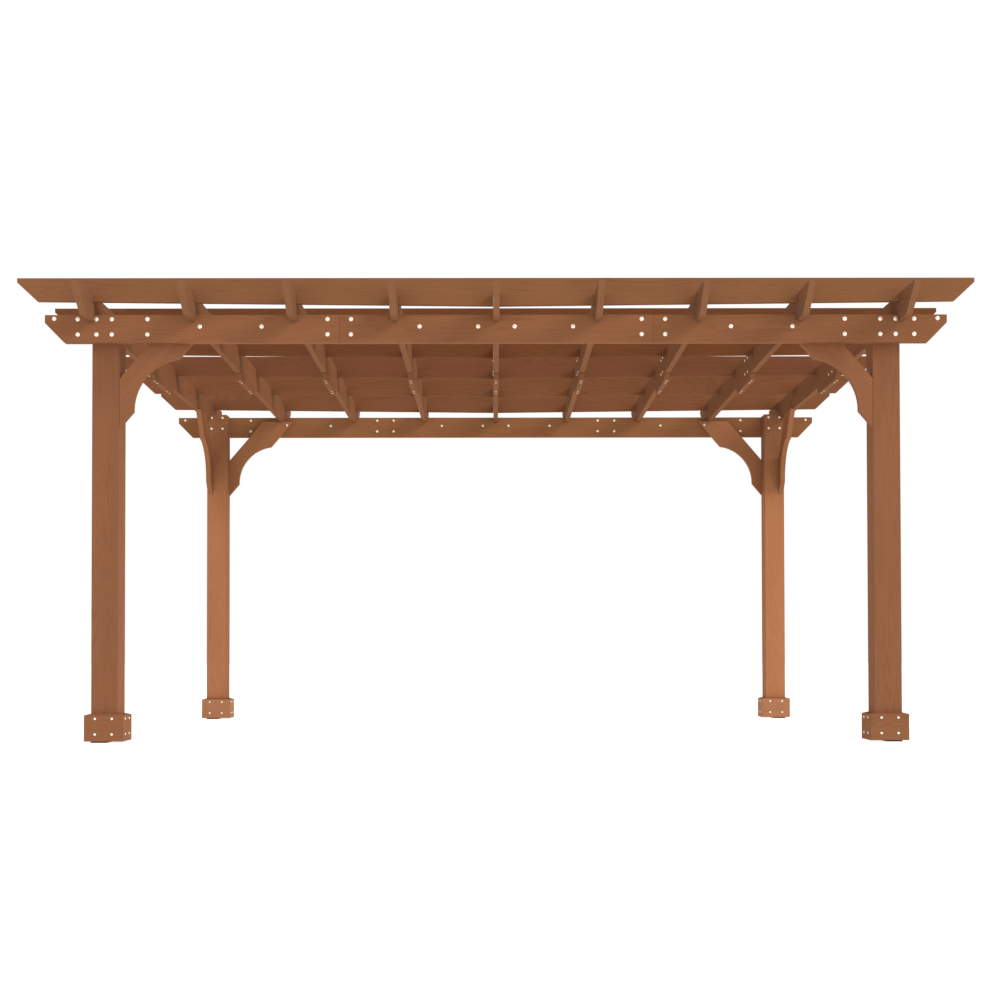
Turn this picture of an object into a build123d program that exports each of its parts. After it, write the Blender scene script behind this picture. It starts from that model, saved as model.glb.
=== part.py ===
"""Open-roofed wooden pergola: four skirted posts, bolted two-ply beams, notched rafters and
tapered purlins, with arched braces at every post.

Origin: centre of the footprint on the floor. X runs along the long side, the front is at -Y,
and Z is up. Millimetres throughout.
"""
import os

from build123d import *

# lumber sections
POST = 140.0
BEAM_PLY = 19.0
BEAM_DEPTH = 142.0
RAFTER_THICK = 32.0
RAFTER_DEPTH = 134.0
PURLIN_THICK = 33.0
PURLIN_MID_DEPTH = 141.0
PURLIN_END_DEPTH = 115.0
BRACE_THICK = 33.0
SKIRT_THICK = 28.0

# post grid, measured over the posts' outer faces
POSTS_X = 4141.0
POSTS_Y = 3346.0
BEAM_TOP = 2182.0

# how far each layer of the roof reaches past the one that carries it
BEAM_OVERHANG = 233.0
PURLIN_OVERHANG = 135.0
PURLIN_PROJECTION = 22.5
RAFTER_OVERHANG = 319.0
RAFTER_SET = 2.5

# how the layers stack: the rafters' notch over the beams, the purlins' height above the rafters
RAFTER_NOTCH = 33.0
PURLIN_PROUD = 82.5
RAFTER_COUNT = 9
PURLIN_COUNT = 6

# end cuts: a plumb nose, then a chamfer from the nose down to the underside
BEAM_NOSE = 40.0
BEAM_END_RUN = 100.0
RAFTER_NOSE = 21.0
RAFTER_END_RUN = 160.0
PURLIN_NOSE = 22.0
PURLIN_END_RUN = 101.0

# where boards butt end to end
OUTER_JOINT_X = 801.0
BUTT_GAP = 1.0

# a cleat under every rafter bridges its butt joint at mid-span
SPLICE_LENGTH = 560.0
SPLICE_DEPTH = 38.0
SPLICE_CHAMFER = 34.0

# arched braces: how far the foot lies below the beams' top, and the height of the butt on the post
BRACE_FOOT_DROP = 570.0
BRACE_BUTT = 251.0
BRACE_PITCH = 49.5
BRACE_NIB = 109.0
BRACE_ARC_CHORD = 355.0
BRACE_ARC_RISE = 69.0
CROSS_BRACE_SET = 5.0

# skirt and pad at each post's foot
SKIRT_HEIGHT = 141.0
SKIRT_BEVEL = 8.0
PAD_HEIGHT = 8.0
PAD_LENGTH = 100.0
PAD_NIP = 20.0

# clearances and eased edges
SLIP = 0.5
MITRE_GAP = 0.6
EASE = 3.0

POST_X = (POSTS_X - POST) / 2
POST_Y = (POSTS_Y - POST) / 2
BEAM_FACE = POSTS_Y / 2 + 2 * BEAM_PLY
BEAM_LENGTH = POSTS_X + 2 * BEAM_OVERHANG
RAFTER_BOTTOM = BEAM_TOP - RAFTER_NOTCH
RAFTER_TOP = RAFTER_BOTTOM + RAFTER_DEPTH
RAFTER_LENGTH = 2 * (BEAM_FACE + RAFTER_OVERHANG)
RAFTER_SPAN = POSTS_X - 2 * RAFTER_SET
RAFTER_XS = [RAFTER_SPAN * (i / (RAFTER_COUNT - 1) - 0.5) for i in range(RAFTER_COUNT)]
PURLIN_LENGTH = BEAM_LENGTH + 2 * PURLIN_OVERHANG
PURLIN_TOP = RAFTER_TOP + PURLIN_PROUD
PURLIN_SPAN = 2 * (BEAM_FACE + PURLIN_PROJECTION) - PURLIN_THICK
PURLIN_YS = [PURLIN_SPAN * (i / (PURLIN_COUNT - 1) - 0.5) for i in range(PURLIN_COUNT)]
CORNERS = {
    "front_left": (-1, -1),
    "front_right": (1, -1),
    "rear_left": (-1, 1),
    "rear_right": (1, 1),
}


def save(part, name):
    part.label = name
    export_step(part, "parts/" + name + ".step")


def end_cut_profile(half, top, bottom, nose, run):
    """Points of a board with the same end cut at both ends."""
    return [
        (-half, top),
        (half, top),
        (half, top - nose),
        (half - run, bottom),
        (-half + run, bottom),
        (-half, top - nose),
    ]


def build_post(sx, sy):
    with BuildPart() as post:
        with BuildSketch(Plane.XY.offset(PAD_HEIGHT)):
            with Locations((sx * POST_X, sy * POST_Y)):
                Rectangle(POST, POST)
        extrude(amount=BEAM_TOP - PAD_HEIGHT)
        chamfer(post.edges().filter_by(Axis.Z), EASE)
    return post.part


def build_skirt(sx, sy):
    outer = POST / 2 + SLIP + SKIRT_THICK
    inner = POST / 2 + SLIP
    with BuildPart() as board:
        with BuildSketch(Plane.YZ.offset(-outer)):
            with BuildLine():
                Polyline(
                    (inner, PAD_HEIGHT),
                    (outer, PAD_HEIGHT),
                    (outer, PAD_HEIGHT + SKIRT_HEIGHT - SKIRT_BEVEL),
                    (inner, PAD_HEIGHT + SKIRT_HEIGHT),
                    close=True,
                )
            make_face()
        extrude(amount=2 * outer)
        with BuildSketch(Plane.XY):
            with BuildLine():
                Polyline(
                    (0, MITRE_GAP),
                    (outer + MITRE_GAP, outer + 2 * MITRE_GAP),
                    (-outer - MITRE_GAP, outer + 2 * MITRE_GAP),
                    close=True,
                )
            make_face()
        extrude(amount=PAD_HEIGHT + SKIRT_HEIGHT, mode=Mode.INTERSECT)
    with BuildPart() as skirt:
        with Locations((sx * POST_X, sy * POST_Y)):
            with PolarLocations(0, 4):
                add(board.part)
    return skirt.part


def build_pad(sx, sy):
    flush = sx * POSTS_X / 2
    with BuildPart() as pad:
        with BuildSketch(Plane.XZ.offset(-sy * POST_Y)):
            with BuildLine():
                Polyline(
                    (flush, 0),
                    (flush - sx * (PAD_LENGTH - PAD_NIP), 0),
                    (flush - sx * PAD_LENGTH, PAD_HEIGHT - SLIP),
                    (flush, PAD_HEIGHT - SLIP),
                    close=True,
                )
            make_face()
        extrude(amount=POST / 2, both=True)
    return pad.part


def build_beam_board(x0, x1, y_face):
    """One board of a beam's ply, running from x0 to x1, with its outer face at y_face."""
    with BuildPart() as board:
        with BuildSketch(Plane.XZ.offset(-y_face)):
            with BuildLine():
                Polyline(
                    *end_cut_profile(
                        BEAM_LENGTH / 2,
                        BEAM_TOP,
                        BEAM_TOP - BEAM_DEPTH,
                        BEAM_NOSE,
                        BEAM_END_RUN,
                    ),
                    close=True,
                )
            make_face()
        extrude(amount=BEAM_PLY)
        with BuildSketch(Plane.XZ.offset(-y_face)):
            with Locations(((x0 + x1) / 2, BEAM_TOP - BEAM_DEPTH / 2)):
                Rectangle(x1 - x0, BEAM_DEPTH)
        extrude(amount=BEAM_PLY, mode=Mode.INTERSECT)
    return board.part


def build_rafter(x):
    """Two boards butted at mid-span, notched over the beams and, at the sides, the posts."""
    seat_end = POSTS_Y / 2 if abs(x) < POSTS_X / 2 - POST - RAFTER_THICK else POSTS_Y / 2 - POST
    seat = (BEAM_FACE + seat_end) / 2
    with BuildPart() as rafter:
        with BuildSketch(Plane.YZ.offset(x)):
            with BuildLine():
                Polyline(
                    *end_cut_profile(
                        RAFTER_LENGTH / 2,
                        RAFTER_TOP,
                        RAFTER_BOTTOM,
                        RAFTER_NOSE,
                        RAFTER_END_RUN,
                    ),
                    close=True,
                )
            make_face()
            with Locations((-seat, RAFTER_BOTTOM), (seat, RAFTER_BOTTOM)):
                Rectangle(
                    BEAM_FACE - seat_end + 2 * SLIP,
                    2 * RAFTER_NOTCH,
                    mode=Mode.SUBTRACT,
                )
            with Locations((0, RAFTER_TOP - RAFTER_DEPTH / 2)):
                Rectangle(BUTT_GAP, RAFTER_DEPTH, mode=Mode.SUBTRACT)
        extrude(amount=RAFTER_THICK / 2, both=True)
    return rafter.part


def build_splices():
    with BuildPart() as cleats:
        with BuildSketch(Plane.XY.offset(RAFTER_BOTTOM - SLIP)):
            with Locations(*[(x, 0) for x in RAFTER_XS]):
                Rectangle(RAFTER_THICK, SPLICE_LENGTH)
        extrude(amount=-SPLICE_DEPTH)
        chamfer(cleats.edges().group_by(Axis.Z)[0].filter_by(Axis.X), SPLICE_CHAMFER)
    return cleats.part


def purlin_bottom(x):
    taper = (PURLIN_LENGTH / 2 - abs(x)) / (PURLIN_LENGTH / 2)
    return PURLIN_TOP - PURLIN_END_DEPTH - taper * (PURLIN_MID_DEPTH - PURLIN_END_DEPTH)


def build_purlin(y):
    half = PURLIN_LENGTH / 2
    with BuildPart() as purlin:
        with BuildSketch(Plane.XZ.offset(-y)):
            with BuildLine():
                Polyline(
                    (-half, PURLIN_TOP),
                    (half, PURLIN_TOP),
                    (half, PURLIN_TOP - PURLIN_NOSE),
                    (half - PURLIN_END_RUN, purlin_bottom(half - PURLIN_END_RUN)),
                    (0, purlin_bottom(0)),
                    (-half + PURLIN_END_RUN, purlin_bottom(half - PURLIN_END_RUN)),
                    (-half, PURLIN_TOP - PURLIN_NOSE),
                    close=True,
                )
            make_face()
        extrude(amount=PURLIN_THICK / 2, both=True)
        with BuildSketch(Plane.XZ.offset(-y)):
            with Locations(*[(x, RAFTER_TOP + SLIP) for x in RAFTER_XS]):
                Rectangle(RAFTER_THICK + 2 * SLIP, RAFTER_DEPTH, align=(Align.CENTER, Align.MAX))
        extrude(amount=PURLIN_THICK, both=True, mode=Mode.SUBTRACT)
    return purlin.part


def brace_sketch():
    """Arched brace in an upright plane: x runs inward from the post's face, y is the height."""
    rise = Vector(1, 0).rotate(Axis.Z, BRACE_PITCH)
    foot = Vector(0, BEAM_TOP - BRACE_FOOT_DROP)
    heel = foot + Vector(0, BRACE_BUTT)
    toe = foot + rise * BRACE_NIB
    tip = toe + rise * BRACE_ARC_CHORD
    crown = (toe + tip) * 0.5 + Vector(-rise.Y, rise.X) * BRACE_ARC_RISE
    top = RAFTER_BOTTOM - SLIP
    low_end = foot + rise * ((top - foot.Y) / rise.Y)
    high_end = heel + rise * ((top - heel.Y) / rise.Y)
    with BuildSketch() as outline:
        with BuildLine():
            Line(foot, toe)
            ThreePointArc(toe, crown, tip)
            Polyline(tip, low_end, high_end, heel, foot)
        make_face()
    return outline.sketch


def build_brace(face_point, inward):
    """Brace whose mid-plane passes through face_point on the post and runs inward."""
    upright = Plane(origin=face_point, x_dir=inward, z_dir=Vector(*inward).cross(Vector(0, 0, 1)))
    with BuildPart() as brace:
        with BuildSketch(upright):
            add(brace_sketch())
        extrude(amount=BRACE_THICK / 2, both=True)
    return brace.part


os.makedirs("parts", exist_ok=True)

for corner, (sx, sy) in CORNERS.items():
    save(build_post(sx, sy), "post_" + corner)
    save(build_skirt(sx, sy), "skirt_" + corner)
    save(build_pad(sx, sy), "pad_" + corner)
    brace_set = BRACE_THICK / 2 + SLIP
    inner_x = sx * (POSTS_X / 2 - POST - SLIP)
    inner_y = sy * (POSTS_Y / 2 - POST - SLIP)
    flush_x = sx * (POSTS_X / 2 - brace_set - CROSS_BRACE_SET)
    flush_y = sy * (POSTS_Y / 2 - brace_set)
    save(build_brace((inner_x, flush_y, 0), (-sx, 0, 0)), "brace_long_" + corner)
    save(build_brace((flush_x, inner_y, 0), (0, -sy, 0)), "brace_cross_" + corner)

for side, sy in (("front", -1), ("rear", 1)):
    half = BEAM_LENGTH / 2
    outer_face = sy * BEAM_FACE if sy > 0 else -BEAM_FACE + BEAM_PLY
    inner_face = outer_face - sy * BEAM_PLY
    cuts = [-half, -OUTER_JOINT_X, OUTER_JOINT_X, half]
    for name, x0, x1 in zip(("left", "centre", "right"), cuts[:-1], cuts[1:]):
        board = build_beam_board(x0 + BUTT_GAP / 2, x1 - BUTT_GAP / 2, outer_face)
        save(board, "beam_" + side + "_outer_" + name)
    for name, x0, x1 in (("left", -half, 0), ("right", 0, half)):
        board = build_beam_board(x0 + BUTT_GAP / 2, x1 - BUTT_GAP / 2, inner_face)
        save(board, "beam_" + side + "_inner_" + name)

for number, x in enumerate(RAFTER_XS, 1):
    save(build_rafter(x), "rafter_%d" % number)
save(build_splices(), "rafter_splices")

for number, y in enumerate(PURLIN_YS, 1):
    save(build_purlin(y), "purlin_%d" % number)
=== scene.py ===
"""Dresses the pergola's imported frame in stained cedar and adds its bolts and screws.

The frame's boards keep their own meshes and get a procedural wood for each family of boards.
The bolts, nuts and screws are grown by Geometry Nodes from points on the boards' faces.
Metres throughout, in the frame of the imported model: X along the long side, the front at -Y,
Z up and the floor at zero.
"""
import logging
import math
from abc import ABC, abstractmethod
from dataclasses import dataclass, field
from enum import Enum

import bpy
from mathutils import Matrix, Vector


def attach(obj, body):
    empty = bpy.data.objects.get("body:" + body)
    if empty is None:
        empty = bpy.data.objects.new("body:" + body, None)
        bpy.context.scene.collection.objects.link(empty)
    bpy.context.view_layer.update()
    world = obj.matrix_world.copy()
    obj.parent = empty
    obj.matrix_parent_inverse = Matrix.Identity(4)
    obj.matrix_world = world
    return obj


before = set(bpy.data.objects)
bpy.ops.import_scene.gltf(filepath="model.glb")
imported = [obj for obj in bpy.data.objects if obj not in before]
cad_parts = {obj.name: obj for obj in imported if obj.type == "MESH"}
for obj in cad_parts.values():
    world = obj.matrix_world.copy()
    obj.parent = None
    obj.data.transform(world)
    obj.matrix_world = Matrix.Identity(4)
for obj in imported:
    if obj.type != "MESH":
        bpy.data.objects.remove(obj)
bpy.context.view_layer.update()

MM = 0.001
# every board and fastener of the frame rides on its one body
BODY = "root"
# a colour factor that changes nothing
AS_IT_IS = (1.0, 1.0, 1.0)
# longer than the frame, so that one tone reaches all the way
WHOLE = 10.0
ONE_TONE = (WHOLE, WHOLE, WHOLE)
# between these two lie nearly all of a noise texture's values
NOISE_LOW, NOISE_HIGH = 0.3, 0.7
CORNERS = {
    "front_left": (-1, -1),
    "front_right": (1, -1),
    "rear_left": (-1, 1),
    "rear_right": (1, 1),
}

logging.basicConfig(level=logging.INFO, format="%(message)s")
log = logging.getLogger("pergola")


def linear(hex_colour: str) -> tuple[float, float, float, float]:
    """Turns an sRGB hex colour into the linear one that a shader takes.

    Args:
        hex_colour: Six hex digits after a hash sign.

    Returns:
        Linear red, green and blue, and an alpha of one.
    """
    parts = [int(hex_colour[i:i + 2], 16) / 255 for i in (1, 3, 5)]
    red, green, blue = [c / 12.92 if c <= 0.04045 else ((c + 0.055) / 1.055) ** 2.4 for c in parts]
    return red, green, blue, 1.0


def per_metre(millimetres: float) -> float:
    """Returns how many repeats of a pattern, each that long, go into a metre."""
    return 1.0 / (millimetres * MM)


def add_node(
    tree: bpy.types.NodeTree,
    kind: str,
    inputs: dict[str | int, object] | None = None,
    **settings: object,
) -> bpy.types.Node:
    """Adds a node with its settings and links.

    Args:
        tree: The tree that gets the node.
        kind: Blender's name of the node type.
        inputs: For each socket, by name or number, the socket that feeds it or its value.
        **settings: The node's own properties.

    Returns:
        The new node.
    """
    node = tree.nodes.new(kind)
    for key, value in settings.items():
        setattr(node, key, value)
    for key, value in (inputs or {}).items():
        if isinstance(value, bpy.types.NodeSocket):
            tree.links.new(value, node.inputs[key])
        else:
            node.inputs[key].default_value = value
    return node


def new_material(name: str) -> tuple[bpy.types.Material, bpy.types.NodeTree]:
    """Makes an empty node material.

    Args:
        name: The finish, in a maker's words.

    Returns:
        The material and its tree, with no node in it.
    """
    material = bpy.data.materials.new(name)
    material.use_nodes = True
    material.node_tree.nodes.clear()
    return material, material.node_tree


class GrainRun(Enum):
    """How the fibres of a family of boards are found."""

    STRAIGHT = "one direction for the whole board"
    ROUND_POST = "level, along whichever side of the post the board covers"


class RoofShadeAxis(Enum):
    """Along which axis the painted roof shade is measured, by the axis's number."""

    REARWARDS = 1
    UPWARDS = 2


@dataclass(frozen=True)
class CedarFinish:
    """Red cedar, planed and brushed with a satin stain that lets the grain through.

    The growth rings give soft bands, the fibres fine streaks along the board, and the end
    grain drinks more stain and goes darker and duller. Each board has a tone of its own.

    Attributes:
        name: What the material is called.
        grain: Unit vector along the fibres.
        cell: Size of the box that holds one board, in metres, which gives it its tone.
        early: Colour of the wide pale bands, sRGB.
        late: Colour of the narrow dark bands, sRGB.
        shift: Where the first such box starts, in metres.
        end: Colour of the end grain, sRGB.
        run: How the direction of the fibres is found.
        ring_mm: Spacing of the growth rings where they meet the face.
        fibre_mm: Width of a fibre streak, drawn coarser than real so that it shows.
        streak_mm: Length of a fibre streak.
        tone_spread: How far boards differ in lightness, as a share.
        roughness: Mean roughness of the stained face.
        roof_shade_tint: Painted shade close under the roof, as shares of the colour out in the
            open.
        roof_shade_span: Where on that axis the painted shade starts and where it is full, in
            metres.
        roof_shade_axis: The axis that they are measured along.
        flank_shade_tint: Painted shade on the faces that look along X, as shares of the others'
            colour.
        flank_slant: How near to X such a face looks at least, as a cosine.
        figure_mm: Length and width of a patch in the field whose contours are the rings.
        figure_swing: How much that field changes from patch to patch.
        cloud_mm: Length and width of the patches that took the stain a little differently.
        cloud_share: How much lighter or darker those patches are, as a share.
        late_from: Where in a ring the late wood starts, on a wave that runs from -1 to 1.
        band_share: How far the late wood's bands on a face go towards the dark colour.
        streak_shares: The same for the fibre streaks, for the palest and the darkest.
        heart: Where the end grain's rings would have their centre, in metres.
        end_ring_share: Spacing of the end grain's rings, as a share of the face's.
        end_band_share: How far the end grain's rings go towards the dark colour.
        end_slant: How far a face is turned across the fibres where the end grain starts to
            show and where it shows in full, as cosines.
        end_roughness: Roughness of the end grain.
        gloss: How far the roughness falls and rises with the fibres.
        relief: Strength of the raised grain, and its height in millimetres.
    """

    name: str
    grain: tuple[float, float, float]
    cell: tuple[float, float, float]
    early: str
    late: str
    shift: tuple[float, float, float] = (0.0, 0.0, 0.0)
    end: str = "#855539"
    run: GrainRun = GrainRun.STRAIGHT
    ring_mm: float = 7.0
    fibre_mm: float = 1.6
    streak_mm: float = 260.0
    tone_spread: float = 0.04
    roughness: float = 0.66
    # painted roof shade: its tint, where it starts and is full, and along which axis
    roof_shade_tint: tuple[float, float, float] = AS_IT_IS
    roof_shade_span: tuple[float, float] = (1.3, 2.1)
    roof_shade_axis: RoofShadeAxis = RoofShadeAxis.UPWARDS
    # painted shade on the faces that look along X
    flank_shade_tint: tuple[float, float, float] = AS_IT_IS
    flank_slant: float = 0.7
    figure_mm: tuple[float, float] = (1900.0, 90.0)
    figure_swing: float = 0.4
    cloud_mm: tuple[float, float] = (700.0, 160.0)
    cloud_share: float = 0.05
    late_from: float = -0.2
    band_share: float = 0.25
    streak_shares: tuple[float, float] = (-0.10, 0.26)
    heart: tuple[float, float] = (-0.05, 0.11)
    end_ring_share: float = 0.55
    end_band_share: float = 0.5
    end_slant: tuple[float, float] = (0.6, 0.9)
    end_roughness: float = 0.85
    gloss: tuple[float, float] = (-0.07, 0.09)
    relief: tuple[float, float] = (0.35, 0.25)

    def fibre_frame(self, tree: bpy.types.NodeTree) -> tuple[bpy.types.NodeSocket, ...]:
        """Turns object coordinates so that the first of them runs along the fibres.

        Args:
            tree: The material's tree.

        Returns:
            The turned coordinates, the plain ones, and how much a face cuts across the fibres.
        """
        spot = add_node(tree, "ShaderNodeTexCoord")
        plain, normal = spot.outputs["Object"], spot.outputs["Normal"]
        if self.run is GrainRun.ROUND_POST:
            place = add_node(tree, "ShaderNodeSeparateXYZ", {0: plain}).outputs
            facing = add_node(
                tree, "ShaderNodeVectorMath", {0: normal}, operation="ABSOLUTE"
            ).outputs[0]
            sides = add_node(tree, "ShaderNodeSeparateXYZ", {0: facing}).outputs
            on_side = add_node(
                tree, "ShaderNodeMath", {0: sides[0], 1: sides[1]}, operation="GREATER_THAN"
            ).outputs[0]
            along = add_node(tree, "ShaderNodeMix", {0: on_side, 2: place[0], 3: place[1]})
            depth = add_node(tree, "ShaderNodeMix", {0: on_side, 2: place[1], 3: place[0]})
            turned = add_node(
                tree,
                "ShaderNodeCombineXYZ",
                {0: along.outputs[0], 1: depth.outputs[0], 2: place[2]},
            ).outputs[0]
            return turned, plain, sides[2]
        fibre = Vector(self.grain).normalized()
        # upright fibres need another second axis than upright itself
        up = Vector((0, 0, 1)) if abs(fibre.z) < 0.9 else Vector((0, 1, 0))
        side = up.cross(fibre).normalized()
        turn = Matrix((fibre, side, fibre.cross(side))).to_euler()
        turned = add_node(tree, "ShaderNodeMapping", {"Vector": plain, "Rotation": turn}).outputs[0]
        facing = add_node(
            tree, "ShaderNodeVectorMath", {0: normal, 1: fibre}, operation="DOT_PRODUCT"
        ).outputs["Value"]
        cut = add_node(tree, "ShaderNodeMath", {0: facing}, operation="ABSOLUTE").outputs[0]
        return turned, plain, cut

    def stretched_noise(
        self,
        tree: bpy.types.NodeTree,
        place: bpy.types.NodeSocket,
        long_mm: float,
        wide_mm: float,
        detail: float,
    ) -> bpy.types.NodeSocket:
        """Adds noise drawn out along the fibres.

        Args:
            tree: The material's tree.
            place: Coordinates with the fibres along the first of them.
            long_mm: Length of a patch along the fibres.
            wide_mm: Width of a patch across them.
            detail: Octaves of finer noise.

        Returns:
            The noise, about 0.5 on average.
        """
        scale = (per_metre(long_mm), per_metre(wide_mm), per_metre(wide_mm))
        spread = add_node(tree, "ShaderNodeMapping", {"Vector": place, "Scale": scale})
        noise = add_node(
            tree,
            "ShaderNodeTexNoise",
            {"Vector": spread.outputs[0], "Scale": 1.0, "Detail": detail, "Roughness": 0.55},
        )
        return noise.outputs[0]

    def board_tone(
        self, tree: bpy.types.NodeTree, plain: bpy.types.NodeSocket
    ) -> bpy.types.NodeSocket:
        """Gives every board a lightness of its own.

        Args:
            tree: The material's tree.
            plain: Object coordinates.

        Returns:
            A factor on the colour's lightness, about one.
        """
        moved = add_node(
            tree, "ShaderNodeVectorMath", {0: plain, 1: self.shift}, operation="SUBTRACT"
        )
        boxed = add_node(
            tree, "ShaderNodeVectorMath", {0: moved.outputs[0], 1: self.cell}, operation="SNAP"
        )
        # half a cell more keeps the draw clear of the snap's own rounding
        centred = add_node(
            tree,
            "ShaderNodeVectorMath",
            {0: boxed.outputs[0], 1: [c / 2 for c in self.cell]},
            operation="ADD",
        )
        draw = add_node(tree, "ShaderNodeTexWhiteNoise", {"Vector": centred.outputs[0]})
        return add_node(
            tree,
            "ShaderNodeMapRange",
            {0: draw.outputs["Value"], 3: 1 - self.tone_spread, 4: 1 + self.tone_spread},
        ).outputs[0]

    def painted_roof_shade(
        self, tree: bpy.types.NodeTree, plain: bpy.types.NodeSocket
    ) -> bpy.types.NodeSocket:
        """Tells how far the painted roof shade reaches each spot.

        Args:
            tree: The material's tree.
            plain: Object coordinates.

        Returns:
            Zero in the open, rising to one under the roof, where shade is painted in full.
        """
        start, full = self.roof_shade_span
        place = add_node(tree, "ShaderNodeSeparateXYZ", {0: plain})
        return add_node(
            tree, "ShaderNodeMapRange",
            {0: place.outputs[self.roof_shade_axis.value], 1: start, 2: full},
            interpolation_type="SMOOTHSTEP",
        ).outputs[0]

    def painted_flank_shade(self, tree: bpy.types.NodeTree) -> bpy.types.NodeSocket:
        """Tells which faces look along X, where shade is painted.

        Args:
            tree: The material's tree.

        Returns:
            One on those faces, zero on the others.
        """
        normal = add_node(tree, "ShaderNodeTexCoord").outputs["Normal"]
        facing = add_node(tree, "ShaderNodeVectorMath", {0: normal}, operation="ABSOLUTE")
        across = add_node(tree, "ShaderNodeSeparateXYZ", {0: facing.outputs[0]}).outputs[0]
        return add_node(
            tree, "ShaderNodeMath", {0: across, 1: self.flank_slant}, operation="GREATER_THAN"
        ).outputs[0]

    def rings(
        self, tree: bpy.types.NodeTree, figure: bpy.types.NodeSocket, turns: float
    ) -> bpy.types.NodeSocket:
        """Draws growth rings as the contours of a smooth field.

        Args:
            tree: The material's tree.
            figure: The field whose contours they are.
            turns: Rings for one unit of the field.

        Returns:
            Zero in the early wood, rising to one in the narrow late wood.
        """
        phase = add_node(
            tree, "ShaderNodeMath", {0: figure, 1: turns * math.tau}, operation="MULTIPLY"
        )
        wave = add_node(tree, "ShaderNodeMath", {0: phase.outputs[0]}, operation="SINE")
        return add_node(
            tree, "ShaderNodeMapRange", {0: wave.outputs[0], 1: self.late_from, 2: 1.0},
            interpolation_type="SMOOTHSTEP",
        ).outputs[0]

    def material(self) -> bpy.types.Material:
        """Builds the finish's node material.

        Returns:
            The material: colour, then painted shade by place and facing, then gloss and raised
                grain.
        """
        material, tree = new_material(self.name)
        turned, plain, cut = self.fibre_frame(tree)
        figure = self.stretched_noise(tree, turned, *self.figure_mm, 1.0)
        face_rings = self.rings(
            tree, figure, self.figure_mm[1] / self.ring_mm / self.figure_swing
        )
        fibre = self.stretched_noise(tree, turned, self.streak_mm, self.fibre_mm, 3.0)
        cloud = self.stretched_noise(tree, turned, *self.cloud_mm, 2.0)

        ends = add_node(
            tree, "ShaderNodeMapRange", {0: cut, 1: self.end_slant[0], 2: self.end_slant[1]},
            interpolation_type="SMOOTHSTEP",
        ).outputs[0]
        from_heart = add_node(
            tree, "ShaderNodeMapping",
            {"Vector": turned, "Scale": (0.0, 1.0, 1.0),
             "Location": (0.0, -self.heart[0], -self.heart[1])},
        )
        radius = add_node(
            tree, "ShaderNodeVectorMath", {0: from_heart.outputs[0]}, operation="LENGTH"
        ).outputs["Value"]
        end_rings = self.rings(tree, radius, per_metre(self.ring_mm * self.end_ring_share))

        banding = add_node(
            tree, "ShaderNodeMath", {0: face_rings, 1: self.band_share}, operation="MULTIPLY"
        )
        streaks = add_node(
            tree, "ShaderNodeMapRange",
            {0: fibre, 1: NOISE_LOW, 2: NOISE_HIGH,
             3: self.streak_shares[0], 4: self.streak_shares[1]},
        )
        share = add_node(
            tree, "ShaderNodeMath", {0: banding.outputs[0], 1: streaks.outputs[0]},
            operation="ADD", use_clamp=True,
        )
        face = add_node(
            tree, "ShaderNodeMix",
            {0: share.outputs[0], 6: linear(self.early), 7: linear(self.late)}, data_type="RGBA",
        )
        end_share = add_node(
            tree, "ShaderNodeMath", {0: end_rings, 1: self.end_band_share}, operation="MULTIPLY"
        )
        end_face = add_node(
            tree, "ShaderNodeMix",
            {0: end_share.outputs[0], 6: linear(self.end), 7: linear(self.late)}, data_type="RGBA",
        )
        wood = add_node(
            tree, "ShaderNodeMix", {0: ends, 6: face.outputs[2], 7: end_face.outputs[2]},
            data_type="RGBA",
        )
        mottle = add_node(
            tree, "ShaderNodeMapRange",
            {0: cloud, 1: NOISE_LOW, 2: NOISE_HIGH,
             3: 1 - self.cloud_share, 4: 1 + self.cloud_share},
        )
        lightness = add_node(
            tree, "ShaderNodeMath",
            {0: mottle.outputs[0], 1: self.board_tone(tree, plain)}, operation="MULTIPLY",
        )
        toned = add_node(
            tree, "ShaderNodeHueSaturation",
            {"Value": lightness.outputs[0], "Color": wood.outputs[2]},
        )
        # painted shade: the colour is darkened under the roof
        roof_shaded = add_node(
            tree, "ShaderNodeMix",
            {0: self.painted_roof_shade(tree, plain), 6: toned.outputs[0], 7: (*self.roof_shade_tint, 1.0)},
            data_type="RGBA", blend_type="MULTIPLY",
        )
        # painted shade: the faces that look along X are darkened
        flank_shaded = add_node(
            tree, "ShaderNodeMix",
            {0: self.painted_flank_shade(tree), 6: roof_shaded.outputs[2], 7: (*self.flank_shade_tint, 1.0)},
            data_type="RGBA", blend_type="MULTIPLY",
        )
        gloss = add_node(
            tree, "ShaderNodeMapRange",
            {0: fibre, 1: NOISE_LOW, 2: NOISE_HIGH,
             3: self.roughness + self.gloss[0], 4: self.roughness + self.gloss[1]},
        )
        dull = add_node(
            tree, "ShaderNodeMix", {0: ends, 2: gloss.outputs[0], 3: self.end_roughness}
        )
        raised = add_node(tree, "ShaderNodeMath", {0: fibre, 1: face_rings}, operation="ADD")
        strength, height_mm = self.relief
        bump = add_node(
            tree, "ShaderNodeBump",
            {"Strength": strength, "Distance": height_mm * MM, "Height": raised.outputs[0]},
        )
        # a brushed-on stain leaves almost no film, so hardly any shine
        shader = add_node(
            tree, "ShaderNodeBsdfPrincipled",
            {"Base Color": flank_shaded.outputs[2], "Roughness": dull.outputs[0],
             "Normal": bump.outputs[0], "IOR": 1.45, "Specular IOR Level": 0.015},
        )
        add_node(tree, "ShaderNodeOutputMaterial", {"Surface": shader.outputs[0]})
        return material


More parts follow.
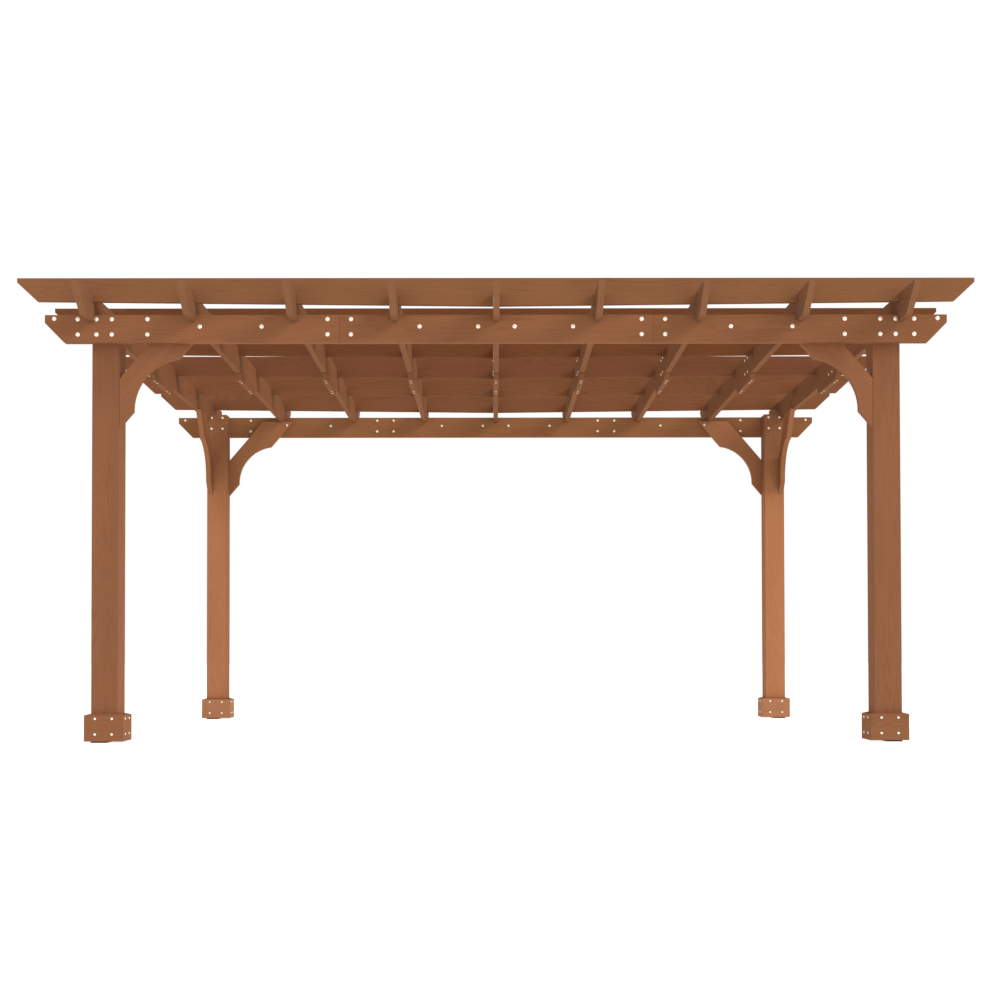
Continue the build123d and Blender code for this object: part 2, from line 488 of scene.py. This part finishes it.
@dataclass(frozen=True)
class ZincPlate:
    """Steel, bright zinc plated: a pale silvery skin with a faint mottle where the crystals show.

    Attributes:
        name: What the material is called.
        colour: The plating's own colour, sRGB.
        grain_mm: Size of the mottle, drawn coarser than real so that it shows.
        roughness: Mean roughness.
        gloss: How far the roughness falls and rises with the mottle.
        metal: How far the skin mirrors as bare metal does; the rest is its white bloom.
    """

    name: str = "zinc_plated_steel"
    colour: str = "#F8F0E4"
    grain_mm: float = 3.0
    roughness: float = 0.55
    gloss: float = 0.08
    metal: float = 0.75

    def material(self) -> bpy.types.Material:
        """Builds the plating's node material.

        Returns:
            The material.
        """
        material, tree = new_material(self.name)
        place = add_node(tree, "ShaderNodeTexCoord").outputs["Object"]
        mottle = add_node(
            tree, "ShaderNodeTexNoise",
            {"Vector": place, "Scale": per_metre(self.grain_mm), "Detail": 2.0},
        ).outputs[0]
        gloss = add_node(
            tree, "ShaderNodeMapRange",
            {0: mottle, 1: NOISE_LOW, 2: NOISE_HIGH,
             3: self.roughness - self.gloss, 4: self.roughness + self.gloss},
        )
        shader = add_node(
            tree, "ShaderNodeBsdfPrincipled",
            {"Base Color": linear(self.colour), "Metallic": self.metal,
             "Roughness": gloss.outputs[0]},
        )
        add_node(tree, "ShaderNodeOutputMaterial", {"Surface": shader.outputs[0]})
        return material


@dataclass(frozen=True)
class MouldedRubber:
    """Black rubber, moulded: matt, with the fine pebble of the mould.

    Attributes:
        name: What the material is called.
        colour: Colour of the rubber, sRGB.
        dust: Colour of the dust that lies on it, sRGB.
        pebble_mm: Size of the mould's pebble.
        relief: Strength of the pebble, and its height in millimetres.
        roughness: Roughness of the whole.
    """

    name: str = "moulded_black_rubber"
    colour: str = "#1C1614"
    dust: str = "#332A26"
    pebble_mm: float = 2.0
    relief: tuple[float, float] = (0.4, 0.2)
    roughness: float = 0.8

    def material(self) -> bpy.types.Material:
        """Builds the rubber's node material.

        Returns:
            The material.
        """
        material, tree = new_material(self.name)
        place = add_node(tree, "ShaderNodeTexCoord").outputs["Object"]
        pebble = add_node(
            tree, "ShaderNodeTexNoise",
            {"Vector": place, "Scale": per_metre(self.pebble_mm), "Detail": 2.0},
        ).outputs[0]
        dusty = add_node(
            tree, "ShaderNodeMix",
            {0: pebble, 6: linear(self.colour), 7: linear(self.dust)}, data_type="RGBA",
        )
        strength, height_mm = self.relief
        bump = add_node(
            tree, "ShaderNodeBump",
            {"Strength": strength, "Distance": height_mm * MM, "Height": pebble},
        )
        shader = add_node(
            tree, "ShaderNodeBsdfPrincipled",
            {"Base Color": dusty.outputs[2], "Roughness": self.roughness,
             "Normal": bump.outputs[0]},
        )
        add_node(tree, "ShaderNodeOutputMaterial", {"Surface": shader.outputs[0]})
        return material


class Head(Enum):
    """What shows of a fastener on a board's face."""

    DOME = "domed bolt head on a washer"
    NUT = "hexagon nut on a washer, with the bolt's end standing out"
    SCREW = "low round screw head"


@dataclass(frozen=True)
class Fastener:
    """Sizes of one kind of fastener, in millimetres.

    Attributes:
        head: What shows of it.
        across: Diameter of the head, or the nut across its corners.
        rise: How far the head or nut stands out.
        washer: Diameter of the washer.
        washer_thick: Thickness of the washer.
        stub: How far the bolt's end stands out of the nut.
        shank_share: Radius of the bolt's end, as a share of the nut across its corners.
        washer_sides: Sides of the washer's outline.
        shank_sides: Sides of the bolt end's outline.
        dome_segments: Faces of a domed head round about.
        dome_rings: Faces of a domed head from pole to pole.
    """

    head: Head
    across: float
    rise: float
    washer: float
    washer_thick: float
    stub: float = 0.0
    shank_share: float = 0.24
    washer_sides: int = 16
    shank_sides: int = 10
    dome_segments: int = 14
    dome_rings: int = 8

    def tree(self) -> bpy.types.NodeTree:
        """Builds the tree that grows a head on each point, turned to the point's facing.

        Returns:
            The tree, with named inputs for the sizes, the seed and the plating.
        """
        tree = bpy.data.node_groups.new("grow_" + self.head.name.lower(), "GeometryNodeTree")
        sockets = tree.interface
        sockets.new_socket("Points", in_out="INPUT", socket_type="NodeSocketGeometry")
        for label in ("Head Diameter", "Head Rise", "Washer Diameter", "Washer Thickness", "Stub"):
            sockets.new_socket(label, in_out="INPUT", socket_type="NodeSocketFloat")
        sockets.new_socket("Seed", in_out="INPUT", socket_type="NodeSocketInt")
        sockets.new_socket("Plating", in_out="INPUT", socket_type="NodeSocketMaterial")
        sockets.new_socket("Fasteners", in_out="OUTPUT", socket_type="NodeSocketGeometry")
        given = add_node(tree, "NodeGroupInput").outputs

        def half(label: str) -> bpy.types.NodeSocket:
            """Returns half of the named input."""
            return add_node(
                tree, "ShaderNodeMath", {0: given[label], 1: 0.5}, operation="MULTIPLY"
            ).outputs[0]

        def standing(body: bpy.types.Node, centre: bpy.types.NodeSocket) -> bpy.types.NodeSocket:
            """Returns the body's mesh with its centre lifted to that height."""
            lift = add_node(tree, "ShaderNodeCombineXYZ", {2: centre})
            return add_node(
                tree, "GeometryNodeTransform",
                {"Geometry": body.outputs["Mesh"], "Translation": lift.outputs[0]},
            ).outputs[0]

        washer = add_node(
            tree, "GeometryNodeMeshCylinder",
            {"Vertices": self.washer_sides, "Radius": half("Washer Diameter"),
             "Depth": given["Washer Thickness"]},
        )
        parts = [standing(washer, half("Washer Thickness"))]
        if self.head is Head.NUT:
            hexagon = add_node(
                tree, "GeometryNodeMeshCylinder",
                {"Vertices": 6, "Radius": half("Head Diameter"), "Depth": given["Head Rise"]},
            )
            parts.append(standing(hexagon, half("Head Rise")))
            shank_radius = add_node(
                tree, "ShaderNodeMath", {0: given["Head Diameter"], 1: self.shank_share},
                operation="MULTIPLY",
            )
            length = add_node(
                tree, "ShaderNodeMath", {0: given["Head Rise"], 1: given["Stub"]}, operation="ADD"
            )
            shank = add_node(
                tree, "GeometryNodeMeshCylinder",
                {"Vertices": self.shank_sides, "Radius": shank_radius.outputs[0],
                 "Depth": length.outputs[0]},
            )
            middle = add_node(
                tree, "ShaderNodeMath", {0: length.outputs[0], 1: 0.5}, operation="MULTIPLY"
            )
            parts.append(standing(shank, middle.outputs[0]))
        else:
            ball = add_node(
                tree, "GeometryNodeMeshUVSphere",
                {"Segments": self.dome_segments, "Rings": self.dome_rings, "Radius": 1.0},
            )
            size = add_node(
                tree, "ShaderNodeCombineXYZ",
                {0: half("Head Diameter"), 1: half("Head Diameter"), 2: given["Head Rise"]},
            )
            dome = add_node(
                tree, "GeometryNodeTransform",
                {"Geometry": ball.outputs["Mesh"], "Scale": size.outputs[0]},
            )
            smooth = add_node(
                tree, "GeometryNodeSetShadeSmooth", {"Geometry": dome.outputs[0]}
            )
            parts.append(smooth.outputs[0])
        joined = add_node(tree, "GeometryNodeJoinGeometry")
        for part in parts:
            tree.links.new(part, joined.inputs[0])

        facing = add_node(
            tree, "GeometryNodeInputNamedAttribute", {"Name": "facing"}, data_type="FLOAT_VECTOR"
        )
        upright = add_node(
            tree, "FunctionNodeAlignRotationToVector", {"Vector": facing.outputs[0]}, axis="Z"
        )
        draw = add_node(
            tree, "FunctionNodeRandomValue",
            {"Min": 0.0, "Max": math.tau, "Seed": given["Seed"]}, data_type="FLOAT",
        )
        spin = add_node(tree, "ShaderNodeCombineXYZ", {2: draw.outputs["Value"]})
        turn = add_node(tree, "FunctionNodeEulerToRotation", {0: spin.outputs[0]})
        wrenched = add_node(
            tree, "FunctionNodeRotateRotation",
            {"Rotation": upright.outputs[0], "Rotate By": turn.outputs[0]}, rotation_space="LOCAL",
        )
        copies = add_node(
            tree, "GeometryNodeInstanceOnPoints",
            {"Points": given["Points"], "Instance": joined.outputs[0],
             "Rotation": wrenched.outputs[0]},
        )
        real = add_node(tree, "GeometryNodeRealizeInstances", {"Geometry": copies.outputs[0]})
        plated = add_node(
            tree, "GeometryNodeSetMaterial",
            {"Geometry": real.outputs[0], "Material": given["Plating"]},
        )
        add_node(tree, "NodeGroupOutput", {0: plated.outputs[0]})
        return tree

    def grow(
        self,
        name: str,
        spots: list[tuple[Vector, Vector]],
        plating: bpy.types.Material,
        seed: int,
    ) -> bpy.types.Object:
        """Makes one piece of all fasteners of this kind at the given places.

        Args:
            name: Name of the piece.
            spots: For each, its place on the board's face and the way that it faces, in metres.
            plating: The metal's finish.
            seed: Seed for how far each nut has been turned.

        Returns:
            The piece, riding on the frame's body.
        """
        points = bpy.data.meshes.new(name + "_points")
        points.from_pydata([spot for spot, _ in spots], [], [])
        facing = points.attributes.new("facing", "FLOAT_VECTOR", "POINT")
        for i, (_, way) in enumerate(spots):
            facing.data[i].vector = way
        carrier = bpy.data.objects.new(name + "_points", points)
        bpy.context.scene.collection.objects.link(carrier)
        tree = self.tree()
        modifier = carrier.modifiers.new("grow", "NODES")
        modifier.node_group = tree
        values = {
            "Head Diameter": self.across * MM,
            "Head Rise": self.rise * MM,
            "Washer Diameter": self.washer * MM,
            "Washer Thickness": self.washer_thick * MM,
            "Stub": self.stub * MM,
            "Seed": seed,
            "Plating": plating,
        }
        for item in tree.interface.items_tree:
            if item.in_out == "INPUT" and item.name in values:
                modifier[item.identifier] = values[item.name]
        bpy.context.view_layer.update()
        evaluated = carrier.evaluated_get(bpy.context.evaluated_depsgraph_get())
        mesh = bpy.data.meshes.new_from_object(evaluated)
        mesh.name = name
        carrier.modifiers.remove(modifier)
        bpy.data.objects.remove(carrier)
        piece = bpy.data.objects.new(name, mesh)
        bpy.context.scene.collection.objects.link(piece)
        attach(piece, BODY)
        return piece


def dress(nodes: list[str], material: bpy.types.Material) -> None:
    """Gives a finish to boards of the frame.

    Args:
        nodes: Names of the boards.
        material: Their finish.
    """
    for name in nodes:
        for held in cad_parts[name].material_slots:
            held.material = material
        log.info("%s: %s", name, material.name)


class BoardSet(ABC):
    """A family of the frame's boards, with the fasteners that show on it."""

    def build(self, plating: bpy.types.Material) -> list[bpy.types.Object]:
        """Adds the fasteners that show.

        Args:
            plating: Their finish.

        Returns:
            The new pieces; none for a family that shows no fasteners of its own.
        """
        return []

    @abstractmethod
    def dress(self) -> None:
        """Gives the boards their finishes."""


@dataclass
class PostSet(BoardSet):
    """The four posts with their skirts and pads.

    Attributes:
        out_x: How far each post's middle stands from the frame's, along X.
        out_y: The same along Y.
        skirt_reach: How far a skirt's outer face stands from its post's middle.
        bolt_apart: Distance between a skirt's two columns of bolts.
        bolt_heights: Heights of the skirt's bolts.
        bolt: The bolts that hold a skirt to its post.
        seed: Seed of the first corner's bolts; each next corner takes the next one.
    """

    out_x: float = 2.0005
    out_y: float = 1.603
    skirt_reach: float = 0.0985
    bolt_apart: float = 0.086
    bolt_heights: tuple[float, float] = (0.044, 0.123)
    bolt: Fastener = Fastener(Head.DOME, 11.0, 3.6, 12.5, 1.0)
    seed: int = 11

    def build(self, plating: bpy.types.Material) -> list[bpy.types.Object]:
        """Adds the bolts that hold the skirts to the posts.

        Args:
            plating: The bolts' finish.

        Returns:
            One piece for each corner.
        """
        pieces = []
        for number, (corner, (sx, sy)) in enumerate(CORNERS.items()):
            middle = Vector((sx * self.out_x, sy * self.out_y, 0.0))
            spots = []
            for quarter in range(4):
                turn = Matrix.Rotation(quarter * math.pi / 2, 3, "Z")
                for across in (-self.bolt_apart / 2, self.bolt_apart / 2):
                    for height in self.bolt_heights:
                        local = Vector((across, -self.skirt_reach, height))
                        spots.append((middle + turn @ local, turn @ Vector((0, -1, 0))))
            seed = self.seed + number
            pieces.append(self.bolt.grow("skirt_bolts_" + corner, spots, plating, seed))
        return pieces

    def dress(self) -> None:
        """Gives the posts, skirts and pads their finishes, with painted light and shade on the
        posts and skirts.
        """
        upright = (0.0, 0.0, 1.0)
        # painted shade: the front posts darken a little under the roof
        front = CedarFinish(
            "stained_cedar_front_posts", upright, ONE_TONE, early="#86583D", late="#6E442E",
            tone_spread=0.01, roof_shade_tint=(0.95, 0.95, 0.95),
        )
        # painted light: lighter than the front posts; painted shade under the roof and on X faces
        rear = CedarFinish(
            "stained_cedar_rear_posts_painted_light", upright, ONE_TONE,
            early="#AB724D", late="#905B3C", end="#8A5638", tone_spread=0.01,
            roof_shade_tint=(0.60, 0.62, 0.63), flank_shade_tint=(0.79, 0.77, 0.78),
        )
        front_skirts = CedarFinish(
            "stained_cedar_front_skirts", upright, ONE_TONE, run=GrainRun.ROUND_POST,
            early="#875A3E", late="#70462F", tone_spread=0.01,
        )
        rear_skirts = CedarFinish(
            # painted light: a lighter copy of the front skirts' stain
            "stained_cedar_rear_skirts_painted_light", upright, ONE_TONE, run=GrainRun.ROUND_POST,
            early="#A47150", late="#89593E", tone_spread=0.01,
        )
        rubber = MouldedRubber().material()
        for side, posts, skirts in (("front", front, front_skirts), ("rear", rear, rear_skirts)):
            corners = [corner for corner in CORNERS if corner.startswith(side)]
            dress(["post_" + corner for corner in corners], posts.material())
            dress(["skirt_" + corner for corner in corners], skirts.material())
            dress(["pad_" + corner for corner in corners], rubber)


@dataclass
class BeamSet(BoardSet):
    """The two-ply beams along the front and the rear, with their bolts.

    Attributes:
        face_y: How far the outer ply's face stands from the frame's middle.
        inner_y: The same for the inner ply's inner face.
        post_y: The same for the posts' inner faces.
        brace_y: The same for the long braces' inner faces.
        pair_heights: Heights of the bolts that come in pairs.
        single_height: Height of the bolts that stand alone.
        end_single: X and height of the bolt near a beam's end.
        pairs: X of the pairs through the two plies.
        post_pairs: X of the pairs that go on through the post.
        singles: X of the bolts that stand alone.
        brace_single: X of the bolt that goes on through the brace.
        bolt: The bolts, whose heads show outside.
        nut: Their nuts, which show inside.
        outer_joint: How far the outer ply's butt joints stand from its middle.
        bolt_seed: Seed of the front beam's bolts; the rear one's is the next.
        nut_seed: The same for the nuts.
    """

    face_y: float = 1.711
    inner_y: float = 1.673
    post_y: float = 1.533
    brace_y: float = 1.6395
    pair_heights: tuple[float, float] = (2.082, 2.160)
    single_height: float = 2.122
    end_single: tuple[float, float] = (2.255, 2.163)
    pairs: tuple[float, ...] = (2.135, 1.780, 0.862, 0.742)
    post_pairs: tuple[float, ...] = (2.040, 1.962)
    singles: tuple[float, ...] = (1.198, 0.392, 0.093)
    brace_single: float = 1.513
    bolt: Fastener = Fastener(Head.DOME, 19.0, 5.6, 22.0, 1.6)
    nut: Fastener = Fastener(Head.NUT, 14.0, 6.5, 17.0, 1.5, 3.0)
    outer_joint: float = 0.801
    bolt_seed: int = 21
    nut_seed: int = 31

    def places(self) -> list[tuple[float, float, float]]:
        """Lists the bolts of one half of one beam.

        Returns:
            For each, its X, its Z, and how far out its inner end stands.
        """
        found = [(x, z, self.inner_y) for x in self.pairs for z in self.pair_heights]
        found += [(x, z, self.post_y) for x in self.post_pairs for z in self.pair_heights]
        found += [(x, self.single_height, self.inner_y) for x in self.singles]
        found.append((self.end_single[0], self.end_single[1], self.inner_y))
        found.append((self.brace_single, self.single_height, self.brace_y))
        return found

    def build(self, plating: bpy.types.Material) -> list[bpy.types.Object]:
        """Adds the bolts: domed heads outside, nuts inside.

        Args:
            plating: Their finish.

        Returns:
            For each beam, a piece of heads and a piece of nuts.
        """
        pieces = []
        for number, (side, sy) in enumerate((("front", -1), ("rear", 1))):
            heads, nuts = [], []
            for sx in (-1, 1):
                for x, z, inner in self.places():
                    heads.append((Vector((sx * x, sy * self.face_y, z)), Vector((0, sy, 0))))
                    nuts.append((Vector((sx * x, sy * inner, z)), Vector((0, -sy, 0))))
            pieces += [
                self.bolt.grow("beam_bolts_" + side, heads, plating, self.bolt_seed + number),
                self.nut.grow("beam_nuts_" + side, nuts, plating, self.nut_seed + number),
            ]
        return pieces

    def dress(self) -> None:
        """Gives the two plies their finishes, which change where their boards butt."""
        along = (1.0, 0.0, 0.0)
        outer = CedarFinish(
            "stained_cedar_outer_ply", along, (2 * self.outer_joint, WHOLE, WHOLE),
            shift=(-self.outer_joint, 0.0, 0.0), early="#87593C", late="#6F452E",
        )
        inner = CedarFinish(
            "stained_cedar_inner_ply", along, ONE_TONE, early="#8C5E3D", late="#734A2F"
        )
        outer_wood, inner_wood = outer.material(), inner.material()
        for side in ("front", "rear"):
            dress(["beam_%s_outer_%s" % (side, n) for n in ("left", "centre", "right")], outer_wood)
            dress(["beam_%s_inner_%s" % (side, n) for n in ("left", "right")], inner_wood)


@dataclass
class BraceSet(BoardSet):
    """The eight arched braces.

    Attributes:
        pitch: Angle of a brace above the level, in degrees.
        lit_and_shaded_tones: Pale and dark colour at the front (-1) and at the rear (1), the rear's
            painted lighter.
        cross_flank_shade_tint: Painted shade on the cross braces' flanks.
    """

    pitch: float = 49.5
    # painted light: the rear braces get a lighter copy of the front braces' stain
    lit_and_shaded_tones: dict[int, tuple[str, str]] = field(
        default_factory=lambda: {-1: ("#895A3E", "#71462F"), 1: ("#966544", "#7C4F33")}
    )
    # painted shade on the cross braces' flanks
    cross_flank_shade_tint: tuple[float, float, float] = (0.72, 0.63, 0.59)

    def dress(self) -> None:
        """Gives each brace a finish whose fibres climb with it."""
        run, rise = math.cos(math.radians(self.pitch)), math.sin(math.radians(self.pitch))
        for corner, (sx, sy) in CORNERS.items():
            early, late = self.lit_and_shaded_tones[sy]
            for kind, grain, flank_shade_tint in (
                ("long", (-sx * run, 0.0, rise), AS_IT_IS),
                ("cross", (0.0, -sy * run, rise), self.cross_flank_shade_tint),
            ):
                wood = CedarFinish(
                    "stained_cedar_%s_brace_%s" % (kind, corner), grain, ONE_TONE,
                    early=early, late=late, end=early, tone_spread=0.02, flank_shade_tint=flank_shade_tint,
                ).material()
                dress(["brace_%s_%s" % (kind, corner)], wood)


@dataclass
class RafterSet(BoardSet):
    """The nine rafters and the cleats under their butt joints.

    Attributes:
        pitch_x: Distance from one rafter to the next.
        thick: Thickness of a rafter.
        count: How many rafters there are.
        cleat_top: Height where the cleats end and the rafters begin.
        bolt_ys: Places along Y of the bolts in a rafter's side, on its front board.
        bolt_zs: Their heights.
        screw_ys: How far the cleat's screws stand from the butt joint.
        screw_z: Height of the cleat's underside.
        bolt: The bolts in a rafter's side.
        screw: The screws in a cleat's underside.
        bolt_seed: Seed of the bolts.
        screw_seed: Seed of the screws.
    """

    pitch_x: float = 0.517
    thick: float = 0.032
    count: int = 9
    cleat_top: float = 2.1488
    bolt_ys: tuple[float, float] = (-0.160, -0.068)
    bolt_zs: tuple[float, float] = (2.176, 2.262)
    screw_ys: tuple[float, float] = (0.150, 0.219)
    screw_z: float = 2.1105
    bolt: Fastener = Fastener(Head.DOME, 11.0, 3.6, 12.5, 1.0)
    screw: Fastener = Fastener(Head.SCREW, 9.0, 2.2, 7.0, 0.5)
    bolt_seed: int = 41
    screw_seed: int = 43

    def build(self, plating: bpy.types.Material) -> list[bpy.types.Object]:
        """Adds the bolts through the rafters and the screws up into the cleats.

        Args:
            plating: Their finish.

        Returns:
            A piece of bolts and a piece of screws.
        """
        heads, screws = [], []
        for number in range(self.count):
            x = (number - (self.count - 1) / 2) * self.pitch_x
            for y in self.bolt_ys:
                for z in self.bolt_zs:
                    heads.append((Vector((x - self.thick / 2, y, z)), Vector((-1, 0, 0))))
            for y in (-self.screw_ys[1], -self.screw_ys[0], *self.screw_ys):
                screws.append((Vector((x, y, self.screw_z)), Vector((0, 0, -1))))
        return [
            self.bolt.grow("rafter_bolts", heads, plating, self.bolt_seed),
            self.screw.grow("cleat_screws", screws, plating, self.screw_seed),
        ]

    def dress(self) -> None:
        """Gives the rafters and cleats a finish that changes from board to board, with painted
        shade behind the front tips and on the sides.
        """
        wood = CedarFinish(
            "stained_cedar_rafters", (0.0, 1.0, 0.0), (self.pitch_x, WHOLE, WHOLE),
            shift=(self.pitch_x / 2, 0.0, self.cleat_top),
            early="#855C3F", late="#6D4730", end="#80583C",
            # painted shade: darker behind the front tips, and on the faces that look along X
            roof_shade_tint=(0.90, 0.82, 0.75), roof_shade_span=(-1.76, -1.60), roof_shade_axis=RoofShadeAxis.REARWARDS,
            flank_shade_tint=(0.81, 0.77, 0.77),
        ).material()
        dress(["rafter_%d" % (i + 1) for i in range(self.count)] + ["rafter_splices"], wood)


@dataclass
class PurlinSet(BoardSet):
    """The six tapered purlins on top.

    Attributes:
        pitch_y: Distance from one purlin to the next.
        lit_and_shaded_tones: For each run of boards from the front, their numbers and their two
            colours, painted darker behind the first purlin as shade.
    """

    pitch_y: float = 0.6868
    # painted shade: purlins 2 to 6 get darker copies of the first purlin's stain
    lit_and_shaded_tones: tuple[tuple[str, tuple[int, ...], str, str], ...] = (
        ("1", (1,), "#83583A", "#6C452D"),
        ("2_3", (2, 3), "#71452B", "#5C3620"),
        ("4", (4,), "#784B32", "#623C26"),
        ("5_6", (5, 6), "#7D5035", "#663F29"),
    )

    def dress(self) -> None:
        """Gives the purlins finishes that change from board to board."""
        for place, numbers, early, late in self.lit_and_shaded_tones:
            wood = CedarFinish(
                "stained_cedar_purlins_" + place, (1.0, 0.0, 0.0), (WHOLE, self.pitch_y, WHOLE),
                shift=(-WHOLE / 2, 0.0, 0.0), early=early, late=late, end=early,
            ).material()
            dress(["purlin_%d" % i for i in numbers], wood)


@dataclass
class Studio:
    """Pale floor, soft light all round and the camera at the photograph's place.

    Attributes:
        eye: Where the camera stands.
        lens: Focal length in millimetres.
        sensor: Width of the camera's sensor in millimetres.
        sight: How far the camera sees.
        shift_up: Lens shift that the photograph's framing needs.
        tip: Turn about the camera's side-to-side axis, in degrees; 90 looks level.
        swing: Turn about the upright axis, in degrees.
        roll: Turn about the camera's line of sight, in degrees.
        floor_half: Half the floor's side.
        sheet: Colour of the floor, sRGB.
        glow: Colour of the light from below the floor, sRGB.
        glow_strength: Strength of that light.
        sky_strength: Strength of the white light from all round.
        key_strength: Strength of the key light.
        key_width: How wide the key light is as seen from the frame, in degrees.
        key_from: The way towards the key light.
    """

    eye: tuple[float, float, float] = (-0.0145, -9.6452, 0.4195)
    lens: float = 56.18
    sensor: float = 36.0
    sight: float = 400.0
    shift_up: float = 0.12735
    tip: float = 91.196
    swing: float = -0.2208
    roll: float = -0.0934
    floor_half: float = 150.0
    sheet: str = "#A4A4A3"
    glow: str = "#FFFEFC"
    glow_strength: float = 0.82
    sky_strength: float = 1.0
    key_strength: float = 2.0
    key_width: float = 25.0
    key_from: tuple[float, float, float] = (0.78, -0.32, 0.54)

    def floor(self) -> None:
        """Lays the floor."""
        h = self.floor_half
        mesh = bpy.data.meshes.new("studio_floor")
        mesh.from_pydata([(-h, -h, 0), (h, -h, 0), (h, h, 0), (-h, h, 0)], [], [(0, 1, 2, 3)])
        plane = bpy.data.objects.new("studio_floor", mesh)
        bpy.context.scene.collection.objects.link(plane)
        # a white sheet lit from below, which keeps the shadows around the feet faint
        material, tree = new_material("lit_white_sheet")
        shader = add_node(
            tree, "ShaderNodeBsdfPrincipled",
            {"Base Color": linear(self.sheet), "Roughness": 0.9, "Specular IOR Level": 0.1,
             "Emission Color": linear(self.glow), "Emission Strength": self.glow_strength},
        )
        add_node(tree, "ShaderNodeOutputMaterial", {"Surface": shader.outputs[0]})
        mesh.materials.append(material)

    def light(self) -> None:
        """Fills the studio with white light and adds a broad soft key from the right."""
        world = bpy.data.worlds.new("studio")
        world.use_nodes = True
        world.node_tree.nodes.clear()
        sky = add_node(
            world.node_tree, "ShaderNodeBackground",
            {"Color": linear("#FFFFFF"), "Strength": self.sky_strength},
        )
        add_node(world.node_tree, "ShaderNodeOutputWorld", {"Surface": sky.outputs[0]})
        bpy.context.scene.world = world
        key = bpy.data.lights.new("soft_key", "SUN")
        key.energy = self.key_strength
        key.angle = math.radians(self.key_width)
        lamp = bpy.data.objects.new("soft_key", key)
        lamp.rotation_euler = Vector(self.key_from).to_track_quat("Z", "Y").to_euler()
        bpy.context.scene.collection.objects.link(lamp)

    def camera(self) -> None:
        """Stands the camera where the photograph was taken from."""
        data = bpy.data.cameras.new("photo_view")
        data.lens = self.lens
        data.sensor_width = self.sensor
        data.shift_y = self.shift_up
        data.clip_end = self.sight
        camera = bpy.data.objects.new("photo_view", data)
        camera.location = self.eye
        turn = Matrix.Rotation(math.radians(self.swing), 3, "Z")
        turn = turn @ Matrix.Rotation(math.radians(self.tip), 3, "X")
        turn = turn @ Matrix.Rotation(math.radians(self.roll), 3, "Z")
        camera.rotation_euler = turn.to_euler()
        bpy.context.scene.collection.objects.link(camera)
        bpy.context.scene.camera = camera
        bpy.context.scene.view_settings.view_transform = "Standard"

    def build(self) -> None:
        """Builds the floor, the light and the camera."""
        self.floor()
        self.light()
        self.camera()
        log.info("studio: floor, light and camera")


def main() -> None:
    """Builds the sub-assemblies in order, from the floor up, then the studio."""
    plating = ZincPlate().material()
    for assembly in (PostSet(), BeamSet(), BraceSet(), RafterSet(), PurlinSet()):
        log.info("-- %s", type(assembly).__name__)
        for piece in assembly.build(plating):
            log.info("%s: %d faces", piece.name, len(piece.data.polygons))
        assembly.dress()
    Studio().build()


if __name__ == "__main__":
    main()
